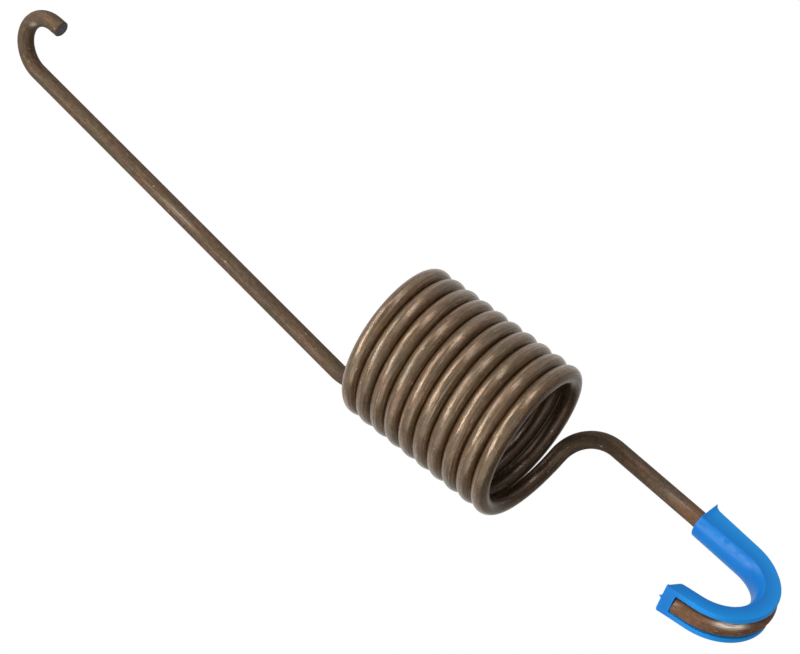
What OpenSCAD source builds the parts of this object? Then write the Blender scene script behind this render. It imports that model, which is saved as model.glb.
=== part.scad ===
/* [Wire] */
// Diameter of the spring wire
wire_d = 4; // [2.5:0.1:6]
// Flat sides that stand for the round wire
wire_sides = 12; // [8:1:16]

/* [Coil] */
// Diameter of the coil from wire centre to wire centre
coil_mean_d = 33.1; // [26:0.1:60]
// Free gap between neighbouring turns
turn_gap = 0.1; // [0.05:0.01:3]
// Full turns; the part turn left over brings the two hooks to their twist
full_turns = 10; // [3:1:14]
// Angle about the spring's axis between the corners of the two legs
hook_twist = 85; // [0:1:180]
// Extra rise that opens the last turn below the upper leg
last_turn_rise = 0.5; // [0:0.1:4]
// Angle of the last turn over which it opens
last_turn_angle = 57; // [30:1:340]

/* [Upper hook, under the plastic liner] */
// From the end of the coil to the centre of the hook, along the spring
upper_leg = 46.9; // [35:0.1:120]
// From the end of the coil to the corner where the wire turns up
upper_corner = 9.5; // [4:0.1:14]
// Radius of the hook at the wire centre
upper_hook_r = 11.7; // [10:0.1:20]
// Angle the hook is bent through
upper_hook_bend = 166; // [120:1:180]
// Straight end after the bend
upper_tip = 4.1; // [0.5:0.1:10]
// Hook centre from the axis of the coil, towards the leg
upper_hook_shift = 2.5; // [-4:0.1:6]
// Turn of the hook's plane about its leg, away from the axis of the coil
upper_hook_turn = 8; // [-12:0.2:12]

/* [Lower hook, bare wire] */
// From the end of the coil to the centre of the hook, along the spring
lower_leg = 112.8; // [40:0.1:200]
// From the end of the coil to the corner where the wire turns down
lower_corner = 9.7; // [4:0.1:14]
// Radius of the hook at the wire centre
lower_hook_r = 7.4; // [5:0.1:14]
// Angle the hook is bent through
lower_hook_bend = 176; // [120:1:200]
// Straight end after the bend
lower_tip = 2.3; // [0.5:0.1:10]
// Hook centre from the axis of the coil, away from the leg
lower_hook_shift = 6.6; // [-6:0.1:8]

/* [Liner] */
// Length of the liner on the straight leg below the bend
liner_shank = 13; // [4:0.2:20]
// Clearance between the wire and its channel, on each side
channel_play = 0.05; // [0.02:0.01:0.4]
// Plastic on each flat side of the wire at the mouth of the liner
mouth_side_wall = 0.9; // [0.9:0.1:4]
// Plastic on each flat side of the wire in the bend and at the tip
side_wall = 1.6; // [0.9:0.1:4]
// Plastic inside the hook at the mouth of the liner
mouth_wall = 1.4; // [0.6:0.1:4]
// Plastic inside the hook at the top of the bend, where the bracket bears
seat_wall = 1.5; // [0.8:0.1:5]
// Plastic inside the hook at its tip
tip_wall = 1.8; // [0.8:0.1:5]
// Height of the lips over the wire centre at the mouth
mouth_lip = 3.2; // [1.2:0.1:4]
// Height of the lips over the wire centre at the top of the bend
bend_lip = 1.6; // [0.6:0.1:3]
// Height of the lips over the wire centre at the tip
tip_lip = 0.8; // [0.6:0.1:3]
// Height of the crown on the inner face above its two edges
inner_crown = 1.5; // [0.2:0.1:2]
// Bevel on the two edges of the inner face
inner_bevel = 0.4; // [0.1:0.1:0.8]
// Bevel on the outer edge of each lip
lip_bevel = 0.3; // [0.1:0.1:0.4]
// How far each wall of the channel flares out towards its lip
channel_flare = 0.3; // [0:0.05:0.4]
// Plastic that closes the channel past the end of the wire
end_wall = 2.9; // [1:0.1:5]
// Length of the lead-in slope at the inner edge of the tip
lead_in = 2.2; // [0.2:0.1:2.6]
// Depth of the lead-in slope at the end of the tip
lead_in_depth = 2.8; // [0.2:0.1:3]

/* [Smoothness] */
// Rings along one turn of the coil
rings_per_turn = 32; // [16:1:40]
// Degrees between rings in the bends
bend_step = 9; // [4:1:15]

/* [Hidden] */

wire_r = wire_d / 2;
coil_r = coil_mean_d / 2;
pitch = wire_d + turn_gap;
channel_r = wire_r + channel_play;
up = [0, 0, 1];

// Everything is laid out about the axis of the coil, level with the seat of the upper hook,
// then moved so that the seat, inside the liner at the top of the bend, is the origin.
upper_hook_z = -(upper_hook_r - wire_r - seat_wall);
coil_top_z = upper_hook_z - upper_leg;

// Vectors
function unit(v) = v / norm(v);
function azimuth(a) = [cos(a), sin(a), 0];
function last(list) = list[len(list) - 1];
function angle_between(a, b) = acos(max(-1, min(1, a * b)));

// The coil rises to the right; a is its angle, counted up to the upper end
function opening(a) = max(0, 1 - (coil_end_a - a) / last_turn_angle);
function rise(a) = pitch * a / 360 + last_turn_rise * pow(opening(a), 2);
function coil_point(a) = coil_r * azimuth(a) + (coil_top_z + rise(a) - rise(coil_end_a)) * up;
function coil_direction(a) = unit(coil_point(a + 0.01) - coil_point(a - 0.01));

// Each end leaves the coil straight on, and its corner lies in the plane of its hook.
// The upper hook's plane is turned past its corner; the lower one's holds the axis.
upper_azimuth = 180 - upper_hook_turn;
lower_azimuth = upper_azimuth - hook_twist;
end_slope = atan((pitch / 360 + 2 * last_turn_rise / last_turn_angle) * 180 / PI / coil_r);
coil_end_a = upper_azimuth - atan(upper_corner * cos(end_slope) / coil_r);
start_slope = atan(pitch / (2 * PI * coil_r));
coil_start_a = lower_azimuth + atan(lower_corner * cos(start_slope) / coil_r) - 360 * full_turns;

// Hook frame: [centre, direction to the leg side, direction back to the coil, angle at which
// the leg touches the bend]. A hook is a circle that the straight leg meets edge on.
function touch_angle(corner, centre, side, back, r) =
    let (x = (corner - centre) * side, z = (corner - centre) * back)
    atan2(x, z) + acos(r / norm([x, z]));
function hook_out(h, g) = sin(g) * h[1] + cos(g) * h[2];
function hook_along(h, g) = cos(g) * h[1] - sin(g) * h[2];
function hook_frame(corner, side, back, shift, z, r) =
    let (across = cross(side, up), centre = shift * side + (corner * across) * across + z * up)
    [centre, side, back, touch_angle(corner, centre, side, back, r)];

upper_end = coil_point(coil_end_a);
upper_dir = coil_direction(coil_end_a - 0.01);
upper_turn = upper_end + upper_corner * upper_dir;
upper_hook = hook_frame(upper_turn, azimuth(180), -up, upper_hook_shift, upper_hook_z,
                        upper_hook_r);
seat_above = [upper_hook[0][0], upper_hook[0][1], 0];

lower_end = coil_point(coil_start_a);
lower_dir = -coil_direction(coil_start_a);
lower_turn = lower_end + lower_corner * lower_dir;
lower_hook_z = lower_end[2] - lower_leg;
lower_hook = hook_frame(lower_turn, azimuth(lower_azimuth), up, -lower_hook_shift,
                        lower_hook_z, lower_hook_r);

// Points of a bend that leaves start along d0, turns to d1 and touches both sides of its corner
function corner_bend(start, d0, d1, reach) =
    let (turn = angle_between(d0, d1), r = reach / tan(turn / 2),
         inward = unit(d1 - (d1 * d0) * d0), steps = ceil(turn / bend_step))
    [for (i = [0:steps]) let (a = turn * i / steps)
        start + r * inward + r * (sin(a) * d0 - cos(a) * inward)];

function bend_steps(sweep) = ceil(sweep / bend_step);
function hook_bend(h, r, sweep) =
    [for (i = [0:bend_steps(sweep)]) h[0] + r * hook_out(h, h[3] + sweep * i / bend_steps(sweep))];

function end_path(start, dir, reach, h, r, sweep, tip) =
    let (touch = h[0] + r * hook_out(h, h[3]), leg = unit(touch - start - reach * dir),
         hook = hook_bend(h, r, sweep))
    concat(corner_bend(start, dir, leg, reach), hook,
           [last(hook) + tip * hook_along(h, h[3] + sweep)]);

function reverse(list) = [for (i = [len(list) - 1:-1:0]) list[i]];

coil_steps = ceil((coil_end_a - coil_start_a) / 360 * rings_per_turn);
coil_path = [for (i = [1:coil_steps - 1])
    coil_point(coil_start_a + (coil_end_a - coil_start_a) * i / coil_steps)];
upper_path = end_path(upper_end, upper_dir, upper_corner, upper_hook, upper_hook_r,
                      upper_hook_bend, upper_tip);
lower_path = end_path(lower_end, lower_dir, lower_corner, lower_hook, lower_hook_r,
                      lower_hook_bend, lower_tip);
wire_path = concat(reverse(lower_path), coil_path, upper_path);

// Solid skinned over a list of rings that all have the same number of points
module skin(rings) {
    n = len(rings[0]);
    rows = len(rings);
    sides = [for (i = [0:rows - 2], k = [0:n - 1], half = [0, 1])
        let (a = i * n + k, b = i * n + (k + 1) % n)
        half == 0 ? [a, b, b + n] : [a, b + n, a + n]];
    caps = [[for (k = [n - 1:-1:0]) k], [for (k = [0:n - 1]) (rows - 1) * n + k]];
    polyhedron(points = [for (r = rings, p = r) p], faces = concat(sides, caps));
}

// Direction of a path at each of its points
function directions(path) =
    let (m = len(path) - 1)
    [for (i = [0:m]) unit(path[min(i + 1, m)] - path[max(i - 1, 0)])];

// A sideways direction carried along the path without turning about it
function carried(dirs) =
    [for (i = 0, v = unit(cross(dirs[0], [0.3, 0.5, 0.8])); i < len(dirs);
          i = i + 1, v = i < len(dirs) ? unit(v - (v * dirs[i]) * dirs[i]) : v) v];

function round_rings(path, r, sides) =
    let (dirs = directions(path), side = carried(dirs))
    [for (i = [0:len(path) - 1]) let (across = cross(dirs[i], side[i]))
        [for (k = [0:sides - 1]) let (a = 360 * k / sides)
            path[i] + r * (cos(a) * across + sin(a) * side[i])]];

// The whole spring is one wire: lower hook, long leg, coil, short leg, upper hook
module spring_wire() {
    color([0.45, 0.39, 0.34])
        translate(-seat_above)
            skin(round_rings(wire_path, wire_r, wire_sides));
}

// The liner follows the upper hook; s is the distance along the wire past the point
// where the leg meets the bend
bend_length = upper_hook_r * upper_hook_bend * PI / 180;
wire_end_s = bend_length + upper_tip;
liner_end_s = wire_end_s + channel_play + end_wall;

function hook_angle(s) =
    upper_hook[3] + max(0, min(s, bend_length)) / upper_hook_r * 180 / PI;
function hook_point(s) =
    let (g = hook_angle(s), over = s < 0 ? s : max(0, s - bend_length))
    upper_hook[0] + upper_hook_r * hook_out(upper_hook, g) + over * hook_along(upper_hook, g);

// A size that runs from the mouth to the top of the bend, and on to the tip
seat_s = (180 - upper_hook[3]) * PI / 180 * upper_hook_r;
function graded(s, at_mouth, at_seat, at_tip) =
    s < seat_s ? at_mouth + (at_seat - at_mouth) * min(1, (s + liner_shank) / (seat_s + liner_shank))
               : at_seat + (at_tip - at_seat) * min(1, (s - seat_s) / (wire_end_s - seat_s));
// The lips fall early in the bend, so they run level with the wire from there on
lip_drop_s = bend_length / 5;
function lip_height(s) =
    s < seat_s ? bend_lip + (mouth_lip - bend_lip)
                     * max(0, min(1, (lip_drop_s - s) / (liner_shank + lip_drop_s)))
               : graded(s, mouth_lip, bend_lip, tip_lip);

// Outline across the liner: x points out of the hook, y across it
function liner_outline(s) =
    let (slope = max(0, s - (liner_end_s - lead_in)) / lead_in * lead_in_depth,
         inside = max(1, wire_r + graded(s, mouth_wall, seat_wall, tip_wall) - slope),
         half_width = channel_r + graded(s, mouth_side_wall, side_wall, side_wall),
         lip = lip_height(s),
         crown = min(inner_crown, inside + lip - lip_bevel - inner_bevel - 0.1),
         edge = crown - inside + inner_bevel,
         crown_r = (half_width * half_width / crown + crown) / 2,
         sweep = asin(half_width / crown_r) * (1 - inner_bevel / half_width))
    concat([[lip, lip_bevel - half_width], [lip, half_width - lip_bevel],
            [lip - lip_bevel, half_width], [edge, half_width]],
           [for (i = [4:-1:-4]) [crown_r * (1 - cos(sweep * i / 4)) - inside,
                                 crown_r * sin(sweep * i / 4)]],
           [[edge, -half_width], [lip - lip_bevel, -half_width]]);

// Outline of the open channel, flared above the middle of the wire
function channel_outline(s) =
    let (lip = lip_height(s), top = lip + 1, flare = channel_flare * top / lip)
    concat([for (a = [90:15:270]) channel_r * [cos(a), sin(a)]],
           [[top, -channel_r - flare], [top, channel_r + flare]]);

function placed(outline, s) =
    let (g = hook_angle(s), out = hook_out(upper_hook, g),
         across = cross(out, hook_along(upper_hook, g)))
    [for (p = outline) hook_point(s) + p[0] * out + p[1] * across];

shank_stations = [for (i = [0:3]) -liner_shank * (1 - i / 4)];
bend_stations = [for (i = [0:bend_steps(upper_hook_bend)])
    bend_length * i / bend_steps(upper_hook_bend)];
tip_stations = [wire_end_s, liner_end_s - lead_in, liner_end_s - lead_in / 2, liner_end_s];
body_stations = concat(shank_stations, bend_stations, tip_stations);
channel_stations = concat([-liner_shank - 1], shank_stations, bend_stations,
                          [wire_end_s + channel_play]);

// One moulded liner clipped over the hook, open along the outside of the bend
module hook_liner() {
    color([0.06, 0.5, 0.87])
        translate(-seat_above)
            difference() {
                skin([for (s = body_stations) placed(liner_outline(s), s)]);
                skin([for (s = channel_stations) placed(channel_outline(s), s)]);
            }
}

spring_wire();
hook_liner();
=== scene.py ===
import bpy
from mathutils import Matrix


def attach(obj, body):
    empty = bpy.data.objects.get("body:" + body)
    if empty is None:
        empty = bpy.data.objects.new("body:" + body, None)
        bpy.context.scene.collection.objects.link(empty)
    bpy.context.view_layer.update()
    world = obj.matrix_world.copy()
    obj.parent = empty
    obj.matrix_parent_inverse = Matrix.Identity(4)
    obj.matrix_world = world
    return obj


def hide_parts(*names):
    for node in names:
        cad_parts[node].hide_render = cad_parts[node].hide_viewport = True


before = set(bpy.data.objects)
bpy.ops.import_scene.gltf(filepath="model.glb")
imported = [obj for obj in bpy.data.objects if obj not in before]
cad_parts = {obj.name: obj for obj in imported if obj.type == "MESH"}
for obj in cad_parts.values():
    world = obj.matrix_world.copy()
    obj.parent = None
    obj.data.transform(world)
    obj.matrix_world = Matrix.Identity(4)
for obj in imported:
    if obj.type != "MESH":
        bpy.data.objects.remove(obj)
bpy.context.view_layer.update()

import math

import bmesh
import bpy
import numpy as np
from mathutils import Matrix, Vector

# Spring wire
# One length of round hard-drawn steel, wound cold into a close coil with a straight leg and a
# hook at each end, then tempered. It keeps the thin brown scale of the tempering, streaked along
# the wire by the drawing die and rubbed bright where turns and tools have touched it. Shade is
# painted inside the coil, and glints are painted in the upper hook.

# Sizes are in millimetres and angles in radians, in the axes of the CAD model
MM = 0.001
UP = np.array([0.0, 0.0, 1.0])

WIRE_RADIUS = 2.0
COIL_RADIUS = 16.55
PITCH = 4.1
FULL_TURNS = 10
TWIST_BETWEEN_HOOKS = math.radians(85)
LAST_TURN_RISE = 0.5
LAST_TURN_ANGLE = math.radians(57)

UPPER_LEG = 46.9
UPPER_CORNER = 9.5
UPPER_HOOK_RADIUS = 11.7
UPPER_HOOK_BEND = math.radians(166)
UPPER_TIP = 4.1
UPPER_HOOK_SHIFT = 2.5
UPPER_HOOK_TURN = math.radians(8)

LOWER_LEG = 112.8
LOWER_CORNER = 9.7
LOWER_HOOK_RADIUS = 7.4
LOWER_HOOK_BEND = math.radians(176)
LOWER_TIP = 2.3
LOWER_HOOK_SHIFT = 6.6

LINER_SEAT_WALL = 1.5

# How far apart the rings of the wire's skin stand: BEND_STEP is an angle, the rest are lengths
BEND_STEP = 0.05
LEG_STEP = 1.5
HOOK_STEP = 0.45
TIP_STEP = 0.6


def unit(vector):
    return vector / np.linalg.norm(vector)


def azimuth(angle):
    return np.array([math.cos(angle), math.sin(angle), 0.0])


# The coil is counted by its angle up to the upper end, and opens a little over its last turn
upper_azimuth = math.pi - UPPER_HOOK_TURN
lower_azimuth = upper_azimuth - TWIST_BETWEEN_HOOKS
end_slope = math.atan((PITCH / (2 * math.pi) + 2 * LAST_TURN_RISE / LAST_TURN_ANGLE) / COIL_RADIUS)
start_slope = math.atan(PITCH / (2 * math.pi * COIL_RADIUS))
coil_end = upper_azimuth - math.atan(UPPER_CORNER * math.cos(end_slope) / COIL_RADIUS)
coil_start = (lower_azimuth + math.atan(LOWER_CORNER * math.cos(start_slope) / COIL_RADIUS)
              - 2 * math.pi * FULL_TURNS)
upper_hook_z = -(UPPER_HOOK_RADIUS - WIRE_RADIUS - LINER_SEAT_WALL)
coil_top_z = upper_hook_z - UPPER_LEG


def coil_rise(angle):
    opening = max(0.0, 1 - (coil_end - angle) / LAST_TURN_ANGLE)
    return PITCH * angle / (2 * math.pi) + LAST_TURN_RISE * opening ** 2


def coil_point(angle):
    return (COIL_RADIUS * azimuth(angle)
            + (coil_top_z + coil_rise(angle) - coil_rise(coil_end)) * UP)


def coil_direction(angle, beside=1e-4):
    return unit(coil_point(angle + beside) - coil_point(angle - beside))


class Hook:
    """A round bend that a straight leg meets edge on; side points to the leg, back to the coil.

    In its methods s is the distance along the wire from the place where the leg meets the bend.
    """

    def __init__(self, corner, side, back, shift, z, radius, bend, tip):
        across = np.cross(side, UP)
        self.centre = shift * side + (corner @ across) * across + z * UP
        self.side, self.back, self.radius = side, back, radius
        aside, behind = (corner - self.centre) @ side, (corner - self.centre) @ back
        self.touch = math.atan2(aside, behind) + math.acos(radius / math.hypot(aside, behind))
        self.bend_length, self.tip = radius * bend, tip

    def angle(self, s):
        return self.touch + min(max(s, 0.0), self.bend_length) / self.radius

    def out(self, s):
        return math.sin(self.angle(s)) * self.side + math.cos(self.angle(s)) * self.back

    def along(self, s):
        return math.cos(self.angle(s)) * self.side - math.sin(self.angle(s)) * self.back

    def point(self, s):
        over = s if s < 0 else max(0.0, s - self.bend_length)
        return self.centre + self.radius * self.out(s) + over * self.along(s)


def steps(start, stop, size):
    """Even steps from start to stop, none longer than size."""
    return np.linspace(start, stop, max(1, math.ceil(abs(stop - start) / size)) + 1)


def wire_end(start, direction, reach, hook):
    """Points from the coil round the corner, up the leg, round the hook and to the cut end."""
    corner = start + reach * direction
    leg = unit(hook.point(0) - corner)
    turn = math.acos(direction @ leg)
    radius = reach / math.tan(turn / 2)
    inward = unit(leg - (leg @ direction) * direction)
    bend = [start + radius * inward + radius * (math.sin(a) * direction - math.cos(a) * inward)
            for a in steps(0, turn, BEND_STEP)]
    run = hook.point(0) - bend[-1]
    straight = [bend[-1] + t * run for t in steps(0, 1, LEG_STEP / np.linalg.norm(run))[1:-1]]
    round_hook = [hook.point(s) for s in steps(0, hook.bend_length, HOOK_STEP)]
    tip = [hook.point(s)
           for s in steps(hook.bend_length, hook.bend_length + hook.tip, TIP_STEP)[1:]]
    return bend + straight + round_hook + tip


upper_start, upper_direction = coil_point(coil_end), coil_direction(coil_end)
lower_start, lower_direction = coil_point(coil_start), -coil_direction(coil_start)
upper_hook = Hook(upper_start + UPPER_CORNER * upper_direction, azimuth(math.pi), -UP,
                  UPPER_HOOK_SHIFT, upper_hook_z, UPPER_HOOK_RADIUS, UPPER_HOOK_BEND, UPPER_TIP)
lower_hook = Hook(lower_start + LOWER_CORNER * lower_direction, azimuth(lower_azimuth), UP,
                  -LOWER_HOOK_SHIFT, lower_start[2] - LOWER_LEG, LOWER_HOOK_RADIUS,
                  LOWER_HOOK_BEND, LOWER_TIP)
# The seat of the upper hook, inside the liner at the top of the bend, is the origin
seat_offset = np.array([upper_hook.centre[0], upper_hook.centre[1], 0.0])

lower_part = wire_end(lower_start, lower_direction, LOWER_CORNER, lower_hook)[::-1]
coil_part = [coil_point(angle) for angle in steps(coil_start, coil_end, BEND_STEP)[1:-1]]
upper_part = wire_end(upper_start, upper_direction, UPPER_CORNER, upper_hook)
wire_path = np.array(lower_part + coil_part + upper_part) - seat_offset


def directions(path):
    ahead = np.vstack([path[1:], path[-1:]]) - np.vstack([path[:1], path[:-1]])
    return ahead / np.linalg.norm(ahead, axis=1)[:, None]


def carried(path_directions, lean=(0.3, 0.5, 0.8)):
    """A sideways direction carried along the wire without turning about it."""
    side = unit(np.cross(path_directions[0], lean))
    sides = []
    for direction in path_directions:
        side = unit(side - (side @ direction) * direction)
        sides.append(side)
    return np.array(sides)


def skinned(name, rings):
    """A closed mesh object skinned over rings of equally many points, in millimetres."""
    rows, count = rings.shape[:2]
    faces = [(row * count + i, row * count + (i + 1) % count,
              (row + 1) * count + (i + 1) % count, (row + 1) * count + i)
             for row in range(rows - 1) for i in range(count)]
    faces += [tuple(range(count))[::-1], tuple((rows - 1) * count + i for i in range(count))]
    mesh = bpy.data.meshes.new(name)
    mesh.from_pydata((rings.reshape(-1, 3) * MM).tolist(), [], faces)
    work = bmesh.new()
    work.from_mesh(mesh)
    bmesh.ops.recalc_face_normals(work, faces=work.faces)
    work.to_mesh(mesh)
    work.free()
    mesh.shade_smooth()
    piece = bpy.data.objects.new(name, mesh)
    bpy.context.scene.collection.objects.link(piece)
    return piece


# The edge of each cut end is broken by a chamfer: the end ring is drawn in and one ring added
WIRE_SIDES = 28
END_CHAMFER = 0.25
WIRE_CREASE = math.radians(35)
wire_directions = directions(wire_path)
wire_radii = np.full(len(wire_path), WIRE_RADIUS)
for end, inner in ((0, 1), (-1, -2)):
    shoulder = wire_path[end] + END_CHAMFER * unit(wire_path[inner] - wire_path[end])
    at = 1 if end == 0 else len(wire_path) - 1
    wire_path = np.insert(wire_path, at, shoulder, axis=0)
    wire_directions = np.insert(wire_directions, at, wire_directions[end], axis=0)
    wire_radii = np.insert(wire_radii, at, WIRE_RADIUS)
    wire_radii[end] = WIRE_RADIUS - END_CHAMFER
wire_sides = carried(wire_directions)
wire_across = np.cross(wire_directions, wire_sides)
wire_s = np.concatenate([[0], np.cumsum(np.linalg.norm(np.diff(wire_path, axis=0), axis=1))])
around = np.linspace(0, 2 * math.pi, WIRE_SIDES, endpoint=False)
outward = (np.cos(around)[None, :, None] * wire_across[:, None]
           + np.sin(around)[None, :, None] * wire_sides[:, None])
spring_wire = skinned("spring_wire_formed",
                      wire_path[:, None] + wire_radii[:, None, None] * outward)
spring_wire.data.set_sharp_from_angle(angle=WIRE_CREASE)


def noted(piece, name, shape, *values):
    """Note one value or three at each point of a piece, for its material to read."""
    table = np.stack([np.broadcast_to(value, shape) for value in values], -1)
    kind, key = ("FLOAT", "value") if len(values) == 1 else ("FLOAT_VECTOR", "vector")
    piece.data.attributes.new(name, kind, "POINT").data.foreach_set(key, table.ravel())


# Places on the drawn wire before it was wound: across it and along it, in millimetres
wire_points = (len(wire_s), WIRE_SIDES)
noted(spring_wire, "drawn_wire", wire_points,
      WIRE_RADIUS * np.cos(around), WIRE_RADIUS * np.sin(around), wire_s[:, None])


def faded(value, low, high):
    """0 up to low, 1 from high on, and a smooth fade between."""
    t = np.clip((value - low) / (high - low), 0, 1)
    return t * t * (3 - 2 * t)


def patch(value, middle, half_width):
    """1 in the middle of a soft patch, falling to nothing on both sides."""
    return np.exp(-((value - middle) / half_width) ** 2)


# Runs along the wire are counted from the coil's ends or from the start of the upper hook.
BURNISH_STARTS, BURNISH_ENDS = (-8, 2), (-6, 5)
# How squarely the surface has to face the coil's axis to take painted shade inside the coil
SHADE_INSIDE = (0.15, 0.85)
DARK_CORNER_AT, DARK_CORNER_HALF, DARK_CORNER_AMOUNT = 9, 11, 0.65
RUST_STARTS = (-6, 10)
RUST_SPOT_AT, RUST_SPOT_HALF, RUST_SPOT_AMOUNT = -15, 2.5, 0.5
# Rubs by tools and handling, with the two bright marks in the upper hook painted as glints:
# along the wire, angle round it, half length, half width, amount
RUBS_AND_GLINTS = [(1226.5, 1.35, 3.2, 0.40, 0.16), (1217.0, 1.60, 4.0, 0.35, 0.06),
             (1272.3, 2.76, 2.5, 0.50, 2.6), (1283.6, 2.90, 0.6, 0.22, 0.35),
             (8.5, 2.60, 1.2, 0.50, 0.45), (77.0, 2.69, 5.0, 0.35, 0.25)]

# Burnished where the wire was wound tight, with painted shade inside the coil, and darker round the
# upper corner
coil_from = wire_s[len(lower_part) + 1]
coil_to = wire_s[len(lower_part) + len(coil_part) + 1]
burnished_wire = (faded(wire_s, *(coil_from + limit for limit in BURNISH_STARTS))
                  * (1 - faded(wire_s, *(coil_to + limit for limit in BURNISH_ENDS))))
from_axis = (wire_path + seat_offset) * (1, 1, 0)
from_axis /= np.linalg.norm(from_axis, axis=1)[:, None]
facing_axis = -np.einsum("rkc,rc->rk", outward, from_axis)
dark_corner = DARK_CORNER_AMOUNT * patch(wire_s, coil_to + DARK_CORNER_AT, DARK_CORNER_HALF)
shade_and_dark_corner = np.maximum(faded(facing_axis, *SHADE_INSIDE) * burnished_wire[:, None],
                       dark_corner[:, None])
rubs_and_glints = np.zeros(wire_points)
for at_s, at_angle, half_length, half_width, amount in RUBS_AND_GLINTS:
    off = np.abs((around - at_angle + math.pi) % (2 * math.pi) - math.pi)
    rubs_and_glints += amount * (patch(wire_s, at_s, half_length)[:, None]
                             * patch(WIRE_RADIUS * off, 0, half_width))
noted(spring_wire, "wire_burnish_shade_glints", wire_points,
      burnished_wire[:, None], shade_and_dark_corner, np.minimum(rubs_and_glints, 1))

# Damp held by the liner has rusted the wire of the upper hook
hook_from = wire_s[-1] - UPPER_HOOK_RADIUS * UPPER_HOOK_BEND - UPPER_TIP
rust_spot = RUST_SPOT_AMOUNT * patch(wire_s, hook_from + RUST_SPOT_AT, RUST_SPOT_HALF)
rusted_wire = np.maximum(faded(wire_s, *(hook_from + limit for limit in RUST_STARTS)), rust_spot)
noted(spring_wire, "wire_rust", wire_points, rusted_wire[:, None])


def add(tree, kind, links=None, **settings):
    """A shader node with its settings, its socket values and the sockets that feed it."""
    made = tree.nodes.new(kind)
    for key, value in settings.items():
        setattr(made, key, value)
    for socket, value in (links or {}).items():
        if isinstance(value, bpy.types.NodeSocket):
            tree.links.new(value, made.inputs[socket])
        else:
            made.inputs[socket].default_value = value
    return made


def new_material(name):
    material = bpy.data.materials.new(name)
    material.use_nodes = True
    material.node_tree.nodes.clear()
    return material, material.node_tree


def finish_material(tree, surface):
    add(tree, "ShaderNodeOutputMaterial", {"Surface": surface.outputs[0]})


def read_note(tree, name, output="Vector"):
    return add(tree, "ShaderNodeAttribute", attribute_name=name).outputs[output]


def read_notes(tree, name):
    split = add(tree, "ShaderNodeSeparateXYZ", {0: read_note(tree, name)}).outputs
    return split["X"], split["Y"], split["Z"]


def noise(tree, place, scale, detail, roughness, along=1.0):
    """A cloudy value from 0 to 1. An along below 1 draws it out along the wire."""
    if along != 1.0:
        place = add(tree, "ShaderNodeMapping", {"Vector": place, "Scale": (1, 1, along)}).outputs[0]
    return add(tree, "ShaderNodeTexNoise", {"Vector": place, "Scale": scale, "Detail": detail,
                                            "Roughness": roughness}).outputs["Fac"]


def ramp(tree, value, low, high, at_low=0.0, at_high=1.0):
    """at_low while the value is under low, at_high above high, and evenly between."""
    return add(tree, "ShaderNodeMapRange",
               {"Value": value, "From Min": low, "From Max": high,
                "To Min": at_low, "To Max": at_high}, clamp=True).outputs["Result"]


def blend(tree, amount, first, second, mode="MIX"):
    """One colour laid over another; the colour sockets of this node go by number."""
    return add(tree, "ShaderNodeMix", {0: amount, 6: first, 7: second},
               data_type="RGBA", blend_type=mode).outputs[2]


def maths(tree, operation, first, second):
    return add(tree, "ShaderNodeMath", {0: first, 1: second}, operation=operation).outputs[0]


def product(tree, first, *others):
    for other in others:
        first = maths(tree, "MULTIPLY", first, other)
    return first


def grey_of(tree, value):
    return add(tree, "ShaderNodeCombineColor", {0: value, 1: value, 2: value}).outputs[0]


def leg_to_coil(tree, burnished, on_legs, on_coil):
    """A value that goes over from that of the legs to that of the burnished coil."""
    return ramp(tree, burnished, 0, 1, on_legs, on_coil)


LEG_BROWN = (0.112, 0.070, 0.044, 1)
COIL_BROWN = (0.150, 0.081, 0.033, 1)
SCALE_OLIVE = (0.118, 0.077, 0.032, 1)
SCALE_RED = (0.170, 0.078, 0.036, 1)
# The colour of the painted shade inside the coil, also laid darker round the upper corner
SHADE_AND_CORNER_BROWN = (0.052, 0.029, 0.016, 1)
RUST = (0.270, 0.120, 0.058, 1)
RUBBED_STEEL = (0.360, 0.275, 0.200, 1)
BARE_STEEL_GLINT = (0.960, 0.820, 0.680, 1)

brown_scale, tree = new_material("brown scale on drawn steel")
drawn_place = read_note(tree, "drawn_wire")
burnished, painted_shade_dark_corner, rubs_glints_bright = read_notes(tree, "wire_burnish_shade_glints")
rust = read_note(tree, "wire_rust", "Fac")
fine_lines = noise(tree, drawn_place, scale=6.0, detail=3, roughness=0.6, along=0.06)
clouds = noise(tree, drawn_place, scale=0.45, detail=3, roughness=0.55, along=0.35)
red_clouds = noise(tree, drawn_place, scale=0.30, detail=3, roughness=0.55, along=0.3)
grain = noise(tree, drawn_place, scale=3.2, detail=3, roughness=0.6)
nicks = noise(tree, drawn_place, scale=1.5, detail=2, roughness=0.5, along=0.45)
waves = noise(tree, drawn_place, scale=0.55, detail=2, roughness=0.5, along=0.4)
mottle = noise(tree, drawn_place, scale=1.1, detail=4, roughness=0.6, along=0.6)
# The lines of the drawing die are fainter on the legs, under their thicker scale
strong_lines = noise(tree, drawn_place, scale=2.6, detail=4, roughness=0.65, along=0.03)
die_lines = maths(tree, "ADD", 0.5, product(tree, maths(tree, "SUBTRACT", strong_lines, 0.5),
                                            leg_to_coil(tree, burnished, 0.30, 1.0)))

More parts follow.
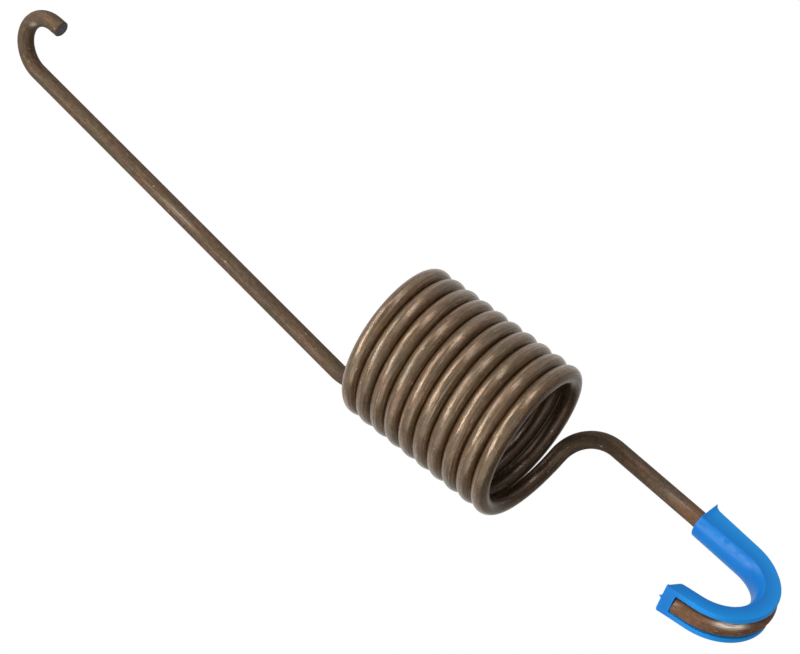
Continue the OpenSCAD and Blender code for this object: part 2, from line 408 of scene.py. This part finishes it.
colour = blend(tree, burnished, LEG_BROWN, COIL_BROWN)
for amount, layer in [
        (ramp(tree, clouds, 0.42, 0.62, 0.0, 0.8), SCALE_OLIVE),
        (ramp(tree, red_clouds, 0.50, 0.68, 0.0, 0.7), SCALE_RED),
        (ramp(tree, die_lines, 0.50, 0.68, 0.0, 0.45), RUBBED_STEEL),
        (product(tree, rust, ramp(tree, clouds, 0.35, 0.60, 0.95, 0.45)), RUST),
        (product(tree, painted_shade_dark_corner, ramp(tree, grain, 0.2, 0.7, 1.0, 0.75)), SHADE_AND_CORNER_BROWN)]:
    colour = blend(tree, amount, colour, layer)
shade = product(tree, ramp(tree, grain, 0.38, 0.62, 0.82, 1.18),
                ramp(tree, die_lines, 0.35, 0.62, 0.62, 1.14),
                leg_to_coil(tree, burnished, 0.80, 1.0),
                ramp(tree, mottle, 0.36, 0.64, 0.78, 1.20))
shaded_scale = blend(tree, 1.0, colour, grey_of(tree, shade), "MULTIPLY")
# Bare steel of nicks and rubs; its near-white colour in the upper hook is a painted glint
bare_and_glint = maths(tree, "MAXIMUM", ramp(tree, nicks, 0.70, 0.78, 0.0, 0.30),
             product(tree, rubs_glints_bright, ramp(tree, fine_lines, 0.38, 0.54, 0.25, 1.0)))
roughness = maths(tree, "ADD", leg_to_coil(tree, burnished, 0.62, 0.29),
                  ramp(tree, die_lines, 0.3, 0.7, 0.05, -0.07))
# Less coat where shade is painted inside the coil, so that it reflects less there
oil_film = product(tree, leg_to_coil(tree, burnished, 0.0, 0.60),
                   ramp(tree, painted_shade_dark_corner, 0, 1, 1.0, 0.35))
relief = maths(tree, "ADD", product(tree, fine_lines, 1.5),
               maths(tree, "ADD", product(tree, grain, 0.35), product(tree, waves, 0.9)))
bump = add(tree, "ShaderNodeBump",
           {"Height": relief, "Strength": 0.5, "Distance": 0.00006}).outputs[0]
finish_material(tree, add(tree, "ShaderNodeBsdfPrincipled", {
    "Base Color": blend(tree, bare_and_glint, shaded_scale, BARE_STEEL_GLINT),
    "Metallic": leg_to_coil(tree, burnished, 0.30, 0.55), "Roughness": roughness,
    "Specular IOR Level": 0.33, "Specular Tint": (1.0, 0.95, 0.88, 1), "Normal": bump,
    "Coat Weight": oil_film, "Coat IOR": 1.62, "Coat Roughness": 0.17, "Coat Normal": bump}))
spring_wire.data.materials.append(brown_scale)

# The two ends were sheared off when the wire was already brown, and show dark torn steel
TORN_DARK, TORN_LIGHT = (0.095, 0.095, 0.105, 1), (0.21, 0.20, 0.205, 1)
sheared_steel, tree = new_material("sheared steel end")
cut_place = add(tree, "ShaderNodeNewGeometry").outputs["Position"]
tearing = noise(tree, cut_place, scale=2600, detail=4, roughness=0.6)
torn = add(tree, "ShaderNodeBump", {"Height": tearing, "Strength": 0.6, "Distance": 0.0001})
finish_material(tree, add(tree, "ShaderNodeBsdfPrincipled", {
    "Base Color": blend(tree, ramp(tree, tearing, 0.35, 0.65), TORN_DARK, TORN_LIGHT),
    "Metallic": 0.8, "Roughness": ramp(tree, tearing, 0.3, 0.7, 0.6, 0.45),
    "Normal": torn.outputs[0]}))
spring_wire.data.materials.append(sheared_steel)
for end_face in spring_wire.data.polygons[-2:]:
    end_face.material_index = 1

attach(spring_wire, "root")
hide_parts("spring_wire")

# Hook liner
# An injection moulded sleeve of tough blue plastic, snapped over the upper hook so that the
# steel doesn't squeak in the bracket. It is a channel open along the outside of the bend,
# with flat sides and a crowned inner face, and it closes past the cut end of the wire.
LINER_SHANK = 13.0
LINER_PLAY = 0.05
CHANNEL_RADIUS = WIRE_RADIUS + LINER_PLAY
CHANNEL_FLARE = 0.3
MOUTH_SIDE_WALL, SIDE_WALL = 0.9, 1.6
MOUTH_WALL, TIP_WALL, END_WALL = 1.4, 1.8, 2.9
MOUTH_LIP, BEND_LIP, TIP_LIP = 3.2, 1.6, 0.8
LIPS_DOWN_BY = 5  # the lips are at their bend height by a fifth of the bend
INNER_CROWN, LEAST_CORE = 1.5, 0.8
LEAD_IN, LEAD_IN_DEPTH, LEAD_IN_SOFTNESS = 2.2, 2.8, 0.25
EDGE_ROUND, LIP_ROUND, MOUTH_ROUND, END_ROUND = 0.32, 0.25, 0.25, 0.5
LINER_CREASE = math.radians(40)

# Points in each curve of the outline, and how far apart the outlines stand
CROWN_POINTS, FLOOR_POINTS, CORNER_STEPS = 13, 13, 4
MOUTH_RINGS, END_RINGS = 4, 5
SHANK_STEP, BEND_RING_STEP, END_RING_STEP, CHANNEL_CLOSES_IN = 0.8, 0.5, 0.3, 0.25

wire_end_s = upper_hook.bend_length + UPPER_TIP
channel_end_s = wire_end_s + LINER_PLAY
liner_end_s = channel_end_s + END_WALL
seat_s = (math.pi - upper_hook.touch) * UPPER_HOOK_RADIUS
lips_down_s = upper_hook.bend_length / LIPS_DOWN_BY


def share(value, low, high):
    return min(1.0, max(0.0, (value - low) / (high - low)))


def graded(s, at_mouth, at_seat, at_tip):
    """A size at s that changes evenly from the mouth to the seat and on to the wire's end."""
    if s < seat_s:
        return at_mouth + (at_seat - at_mouth) * share(s, -LINER_SHANK, seat_s)
    return at_seat + (at_tip - at_seat) * share(s, seat_s, wire_end_s)


def lip_height(s):
    if s < seat_s:
        return MOUTH_LIP + (BEND_LIP - MOUTH_LIP) * share(s, -LINER_SHANK, lips_down_s)
    return graded(s, MOUTH_LIP, BEND_LIP, TIP_LIP)


def rounded_outline(corners, radii, least_reach=0.08, most_of_side=0.45):
    """The closed outline of these corners, each rounded to its radius unless that is None."""
    points = []
    for i, (corner, radius) in enumerate(zip(corners, radii)):
        if radius is None:
            points.append(corner)
            continue
        before, after = corners[i - 1] - corner, corners[(i + 1) % len(corners)] - corner
        half = math.acos(np.clip(unit(before) @ unit(after), -1, 1)) / 2
        reach = min(max(radius / math.tan(half), least_reach),
                    most_of_side * np.linalg.norm(before), most_of_side * np.linalg.norm(after))
        start, stop = corner + reach * unit(before), corner + reach * unit(after)
        points += [(1 - t) ** 2 * start + 2 * t * (1 - t) * corner + t ** 2 * stop
                   for t in np.linspace(0, 1, CORNER_STEPS + 1)]
    return np.array(points)


def liner_outline(s, drawn_in, closed, bulge=0.02):
    """Outline across the liner: x out of the hook, y across it.

    closed fills the channel, and bulge crowns the face that closes it a little.
    """
    half = CHANNEL_RADIUS + graded(s, MOUTH_SIDE_WALL, SIDE_WALL, SIDE_WALL) - drawn_in
    past = s - (liner_end_s - LEAD_IN)
    slope = (math.hypot(past, LEAD_IN_SOFTNESS) + past) / 2 / LEAD_IN * LEAD_IN_DEPTH
    inside = WIRE_RADIUS + graded(s, MOUTH_WALL, LINER_SEAT_WALL, TIP_WALL) - slope - drawn_in
    lip = lip_height(s) - drawn_in
    flare = CHANNEL_RADIUS + CHANNEL_FLARE
    crown_height = min(INNER_CROWN, inside + lip - LEAST_CORE)
    crown_radius = (half ** 2 / crown_height + crown_height) / 2
    sweep = math.asin(half / crown_radius)
    crown = [np.array([crown_radius * (1 - math.cos(a)) - inside, crown_radius * math.sin(a)])
             for a in np.linspace(sweep, -sweep, CROWN_POINTS)]
    floor = [np.array([CHANNEL_RADIUS * math.cos(a), CHANNEL_RADIUS * math.sin(a)])
             for a in np.linspace(1.5 * math.pi, 0.5 * math.pi, FLOOR_POINTS)]
    floor = [p + closed * (np.array([lip - bulge * p[0], p[1]]) - p) for p in floor]
    corners = ([np.array([lip, half])] + crown + [np.array([lip, -half])]
               + [np.array([lip, -flare])] + floor + [np.array([lip, flare])])
    radii = ([LIP_ROUND, EDGE_ROUND] + [None] * (CROWN_POINTS - 2) + [EDGE_ROUND, LIP_ROUND]
             + [LIP_ROUND] + [None] * FLOOR_POINTS + [LIP_ROUND])
    return rounded_outline(corners, radii)


def across_hook(s, outline):
    """Stand an outline across the upper hook."""
    out, along = upper_hook.out(s), upper_hook.along(s)
    across = np.cross(out, along)
    return [upper_hook.point(s) - seat_offset + x * out + y * across for x, y in outline]


def quarter_round(radius, count):
    """Distances back from an end and how far the outline is drawn in there."""
    return [(radius * (1 - math.sin(t)), radius * (1 - math.cos(t)))
            for t in np.linspace(math.pi / 2, 0, count)]


# Where each outline stands, how far it is drawn in and whether the channel is closed there
liner_cuts = [(-LINER_SHANK + back, drawn_in, 0.0)
              for back, drawn_in in quarter_round(MOUTH_ROUND, MOUTH_RINGS)]
for run in (steps(-LINER_SHANK + MOUTH_ROUND + END_RING_STEP, 0, SHANK_STEP)[:-1],
            steps(0, upper_hook.bend_length, BEND_RING_STEP),
            steps(upper_hook.bend_length, channel_end_s, SHANK_STEP)[1:]):
    liner_cuts += [(s, 0.0, 0.0) for s in run]
liner_cuts += [(s, 0.0, 1.0) for s in steps(channel_end_s + CHANNEL_CLOSES_IN,
                                            liner_end_s - END_ROUND, END_RING_STEP)[:-1]]
liner_cuts += [(liner_end_s - back, drawn_in, 1.0)
               for back, drawn_in in reversed(quarter_round(END_ROUND, END_RINGS))]
liner_outlines = np.array([liner_outline(*cut) for cut in liner_cuts])
liner_rings = np.array([across_hook(cut[0], outline)
                        for cut, outline in zip(liner_cuts, liner_outlines)])

# Torn tags of plastic, left where the mould parted at the mouth and at its gate on the tip:
# the place, which way each leans and its length
TORN_TAGS = [((-15.90, -2.95, -19.45), (-0.591, -0.779, -0.210), 0.9),
             ((13.31, -0.40, -13.00), (0.340, -0.164, -0.926), 1.1)]
TAG_HALF_WIDTH = 0.3
for tag_place, tag_lean, tag_length in TORN_TAGS:
    off = np.linalg.norm(liner_rings - tag_place, axis=2)
    liner_rings += tag_length * patch(off, 0, TAG_HALF_WIDTH)[..., None] * tag_lean
hook_liner = skinned("hook_liner_moulded", liner_rings)
hook_liner.data.set_sharp_from_angle(angle=LINER_CREASE)

# The lips are painted a lighter blue, a painted light, up to near the tip. The bracket scuffs
# the two ridges along the inner face, and their lighter blue is also a painted highlight: their
# depth from the wire's centre, their share of the width, where the marks end
LIT_LIP_HEIGHTS = (-0.5, 1.8)
LIGHT_FADES_BEFORE_WIRE_END, LIGHT_GONE_BEFORE_TIP = 4, 0.5
RIDGE_DEPTH = (1.9, 2.8)
RIDGE_FROM, RIDGE_TO = (0.50, 0.80), (0.86, 0.99)
SCUFF_HIGHLIGHT_END = (-1.0, 9.0)
liner_s = np.array([cut[0] for cut in liner_cuts])[:, None]
height, aside = liner_outlines[:, :, 0], np.abs(liner_outlines[:, :, 1])
width_share = aside / aside.max(axis=1, keepdims=True)
painted_light_lips = faded(height, *LIT_LIP_HEIGHTS) * (
    1 - faded(liner_s, wire_end_s - LIGHT_FADES_BEFORE_WIRE_END, liner_end_s - LIGHT_GONE_BEFORE_TIP))
ridge_scuffs_and_highlight = (faded(-height, *RIDGE_DEPTH) * faded(width_share, *RIDGE_FROM)
                   * (1 - faded(width_share, *RIDGE_TO)) * (1 - faded(liner_s, *SCUFF_HIGHLIGHT_END)))
noted(hook_liner, "liner_light_and_scuffs", height.shape, painted_light_lips, ridge_scuffs_and_highlight, 0.0)

LINER_BLUE = (0.003, 0.178, 0.560, 1)
LINER_DEEP = (0.002, 0.158, 0.515, 1)
# Painted light on the lips
LIT_LIP = (0.008, 0.275, 0.740, 1)
# Scuffs on the ridges, together with a painted highlight along them
SCUFF_HIGHLIGHT_BLUE = (0.120, 0.330, 0.720, 1)

blue_plastic, tree = new_material("moulded blue plastic")
moulded_place = add(tree, "ShaderNodeNewGeometry").outputs["Position"]
painted_light_lip, ridge_scuffs_highlight, _ = read_notes(tree, "liner_light_and_scuffs")
flow = noise(tree, moulded_place, scale=140, detail=2, roughness=0.5)
skin = noise(tree, moulded_place, scale=1500, detail=3, roughness=0.6)
handling = noise(tree, moulded_place, scale=420, detail=4, roughness=0.65)
skin_bump = add(tree, "ShaderNodeBump", {"Height": skin, "Strength": 0.12, "Distance": 0.00006})
lit_blue = blend(tree, painted_light_lip, blend(tree, ramp(tree, flow, 0.35, 0.65), LINER_BLUE, LINER_DEEP),
                 LIT_LIP)
scuffs_and_highlight = product(tree, ridge_scuffs_highlight, ramp(tree, handling, 0.42, 0.62, 0.0, 0.55))
finish_material(tree, add(tree, "ShaderNodeBsdfPrincipled", {
    "Base Color": blend(tree, scuffs_and_highlight, lit_blue, SCUFF_HIGHLIGHT_BLUE),
    "Roughness": ramp(tree, handling, 0.3, 0.7, 0.30, 0.42),
    "Specular IOR Level": 0.2, "Normal": skin_bump.outputs[0]}))
hook_liner.data.materials.append(blue_plastic)

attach(hook_liner, "root")
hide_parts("hook_liner")

# Table and studio
# The spring hangs over a wide pale table, lit by two softboxes, a strip light and two fill
# lamps, as for a catalogue picture. The camera sees table and sky as white. What shines on the
# spring shows a greyer table, and a room that is darker on one side.

# Table and lamps stand in metres
TABLE_Z = -0.9
TABLE_HALF = 40.0


def grey(level):
    return (level, level, level, 1)


# The table glows where it is looked at, and its paint takes the spring's shadow. Towards the
# spring it sends back only the light of lamps and sky
GLOW_SEEN, GLOW_REFLECTED, NO_GLOW = grey(0.92), grey(0.66), grey(0.0)
PAINT_SEEN, PAINT_SENDING_LIGHT = grey(0.2), grey(0.8)
SKY_WHITE, SKY_LIGHT = grey(1.0), grey(0.40)
BRIGHT_ROOM, DARK_ROOM = 0.72, 0.06
DARK_SIDE = (-0.13, 0.33, 0.93)


def by_ray(tree, for_camera, for_reflections, for_lighting):
    """One value for camera and transmission rays, one for glossy rays, one for all others."""
    rays = add(tree, "ShaderNodeLightPath").outputs
    straight = maths(tree, "MAXIMUM", rays["Is Camera Ray"], rays["Is Transmission Ray"])
    return blend(tree, straight, blend(tree, rays["Is Glossy Ray"], for_lighting, for_reflections),
                 for_camera)


table_mesh = bpy.data.meshes.new("table")
table_mesh.from_pydata([(x * TABLE_HALF, y * TABLE_HALF, TABLE_Z)
                        for x, y in ((-1, -1), (1, -1), (1, 1), (-1, 1))], [], [(0, 1, 2, 3)])
table = bpy.data.objects.new("table", table_mesh)
bpy.context.scene.collection.objects.link(table)
white_table, tree = new_material("white table")
glow = add(tree, "ShaderNodeEmission", {
    "Color": by_ray(tree, GLOW_SEEN, GLOW_REFLECTED, NO_GLOW), "Strength": 1.0})
paint = add(tree, "ShaderNodeBsdfDiffuse", {
    "Color": by_ray(tree, PAINT_SEEN, PAINT_SEEN, PAINT_SENDING_LIGHT)})
finish_material(tree, add(tree, "ShaderNodeAddShader",
                          {0: glow.outputs[0], 1: paint.outputs[0]}))
table_mesh.materials.append(white_table)

sky = bpy.data.worlds.new("studio")
bpy.context.scene.world = sky
sky.use_nodes = True
sky.node_tree.nodes.clear()
tree = sky.node_tree
towards_dark = add(tree, "ShaderNodeVectorMath",
                   {0: add(tree, "ShaderNodeTexCoord").outputs["Generated"], 1: DARK_SIDE},
                   operation="DOT_PRODUCT").outputs["Value"]
room = grey_of(tree, ramp(tree, towards_dark, -0.05, 1.05, BRIGHT_ROOM, DARK_ROOM))
add(tree, "ShaderNodeOutputWorld", {"Surface": add(tree, "ShaderNodeBackground", {
    "Color": by_ray(tree, SKY_WHITE, room, SKY_LIGHT), "Strength": 1.0}).outputs[0]})

# The camera's own right, up and back, from the direction in which the spring was pictured
VIEW_RIGHT = Vector((-0.61932, -0.25234, 0.74348))
VIEW_UP = Vector((-0.37175, -0.73982, -0.56077))
VIEW_BACK = Vector((0.69155, -0.62369, 0.36438))
CAMERA_PLACE = Vector((0.32493, -0.29721, 0.07412))
PICTURE_WIDTH = 800
FOCAL_PIXELS = 2129.1
SENSOR_WIDTH = 36.0
CLIP_NEAR, CLIP_FAR = 0.02, 200.0

camera = bpy.data.objects.new("camera", bpy.data.cameras.new("camera"))
camera.data.sensor_fit = "HORIZONTAL"
camera.data.sensor_width = SENSOR_WIDTH
camera.data.lens = SENSOR_WIDTH * FOCAL_PIXELS / PICTURE_WIDTH
camera.data.clip_start, camera.data.clip_end = CLIP_NEAR, CLIP_FAR
camera.matrix_world = Matrix((VIEW_RIGHT, VIEW_UP, VIEW_BACK)).transposed().to_4x4()
camera.matrix_world.translation = CAMERA_PLACE
bpy.context.scene.collection.objects.link(camera)
bpy.context.scene.camera = camera

SPRING_MIDDLE = Vector((0.0, 0.0, -0.085))
LAMP_DISTANCE = 0.9


def from_camera_axes(v):
    return v[0] * VIEW_RIGHT + v[1] * VIEW_UP + v[2] * VIEW_BACK


def softbox(name, towards, long_way, width, height, watts):
    """A flat lamp that faces the spring; towards and long_way are in the camera's axes."""
    back, tall = from_camera_axes(towards).normalized(), from_camera_axes(long_way)
    tall = (tall - tall.dot(back) * back).normalized()
    lamp = bpy.data.lights.new(name, "AREA")
    lamp.shape = "RECTANGLE"
    lamp.size, lamp.size_y, lamp.energy = width, height, watts
    holder = bpy.data.objects.new(name, lamp)
    holder.matrix_world = Matrix((tall.cross(back), tall, back)).transposed().to_4x4()
    holder.matrix_world.translation = SPRING_MIDDLE + LAMP_DISTANCE * back
    holder.visible_camera = False
    bpy.context.scene.collection.objects.link(holder)


softbox("main softbox", (-0.84, 0.07, 0.53), (-0.10, 1.0, 0.05), 0.24, 0.62, 4.9)
softbox("upper softbox", (-0.656, 0.672, 0.345), (-0.10, 1.0, 0.05), 0.28, 0.38, 2.4)
softbox("strip light", (0.23, 0.76, 0.61), (0.62, -0.65, 0.45), 0.12, 0.80, 2.4)
softbox("low fill", (-0.40, -0.75, 0.53), (1.0, -0.50, 0.05), 0.90, 0.90, 3.0)
softbox("front fill", (0.15, -0.30, 0.94), (1.0, 0.0, 0.0), 0.80, 0.80, 0.8)

bpy.context.scene.view_settings.view_transform = "Standard"
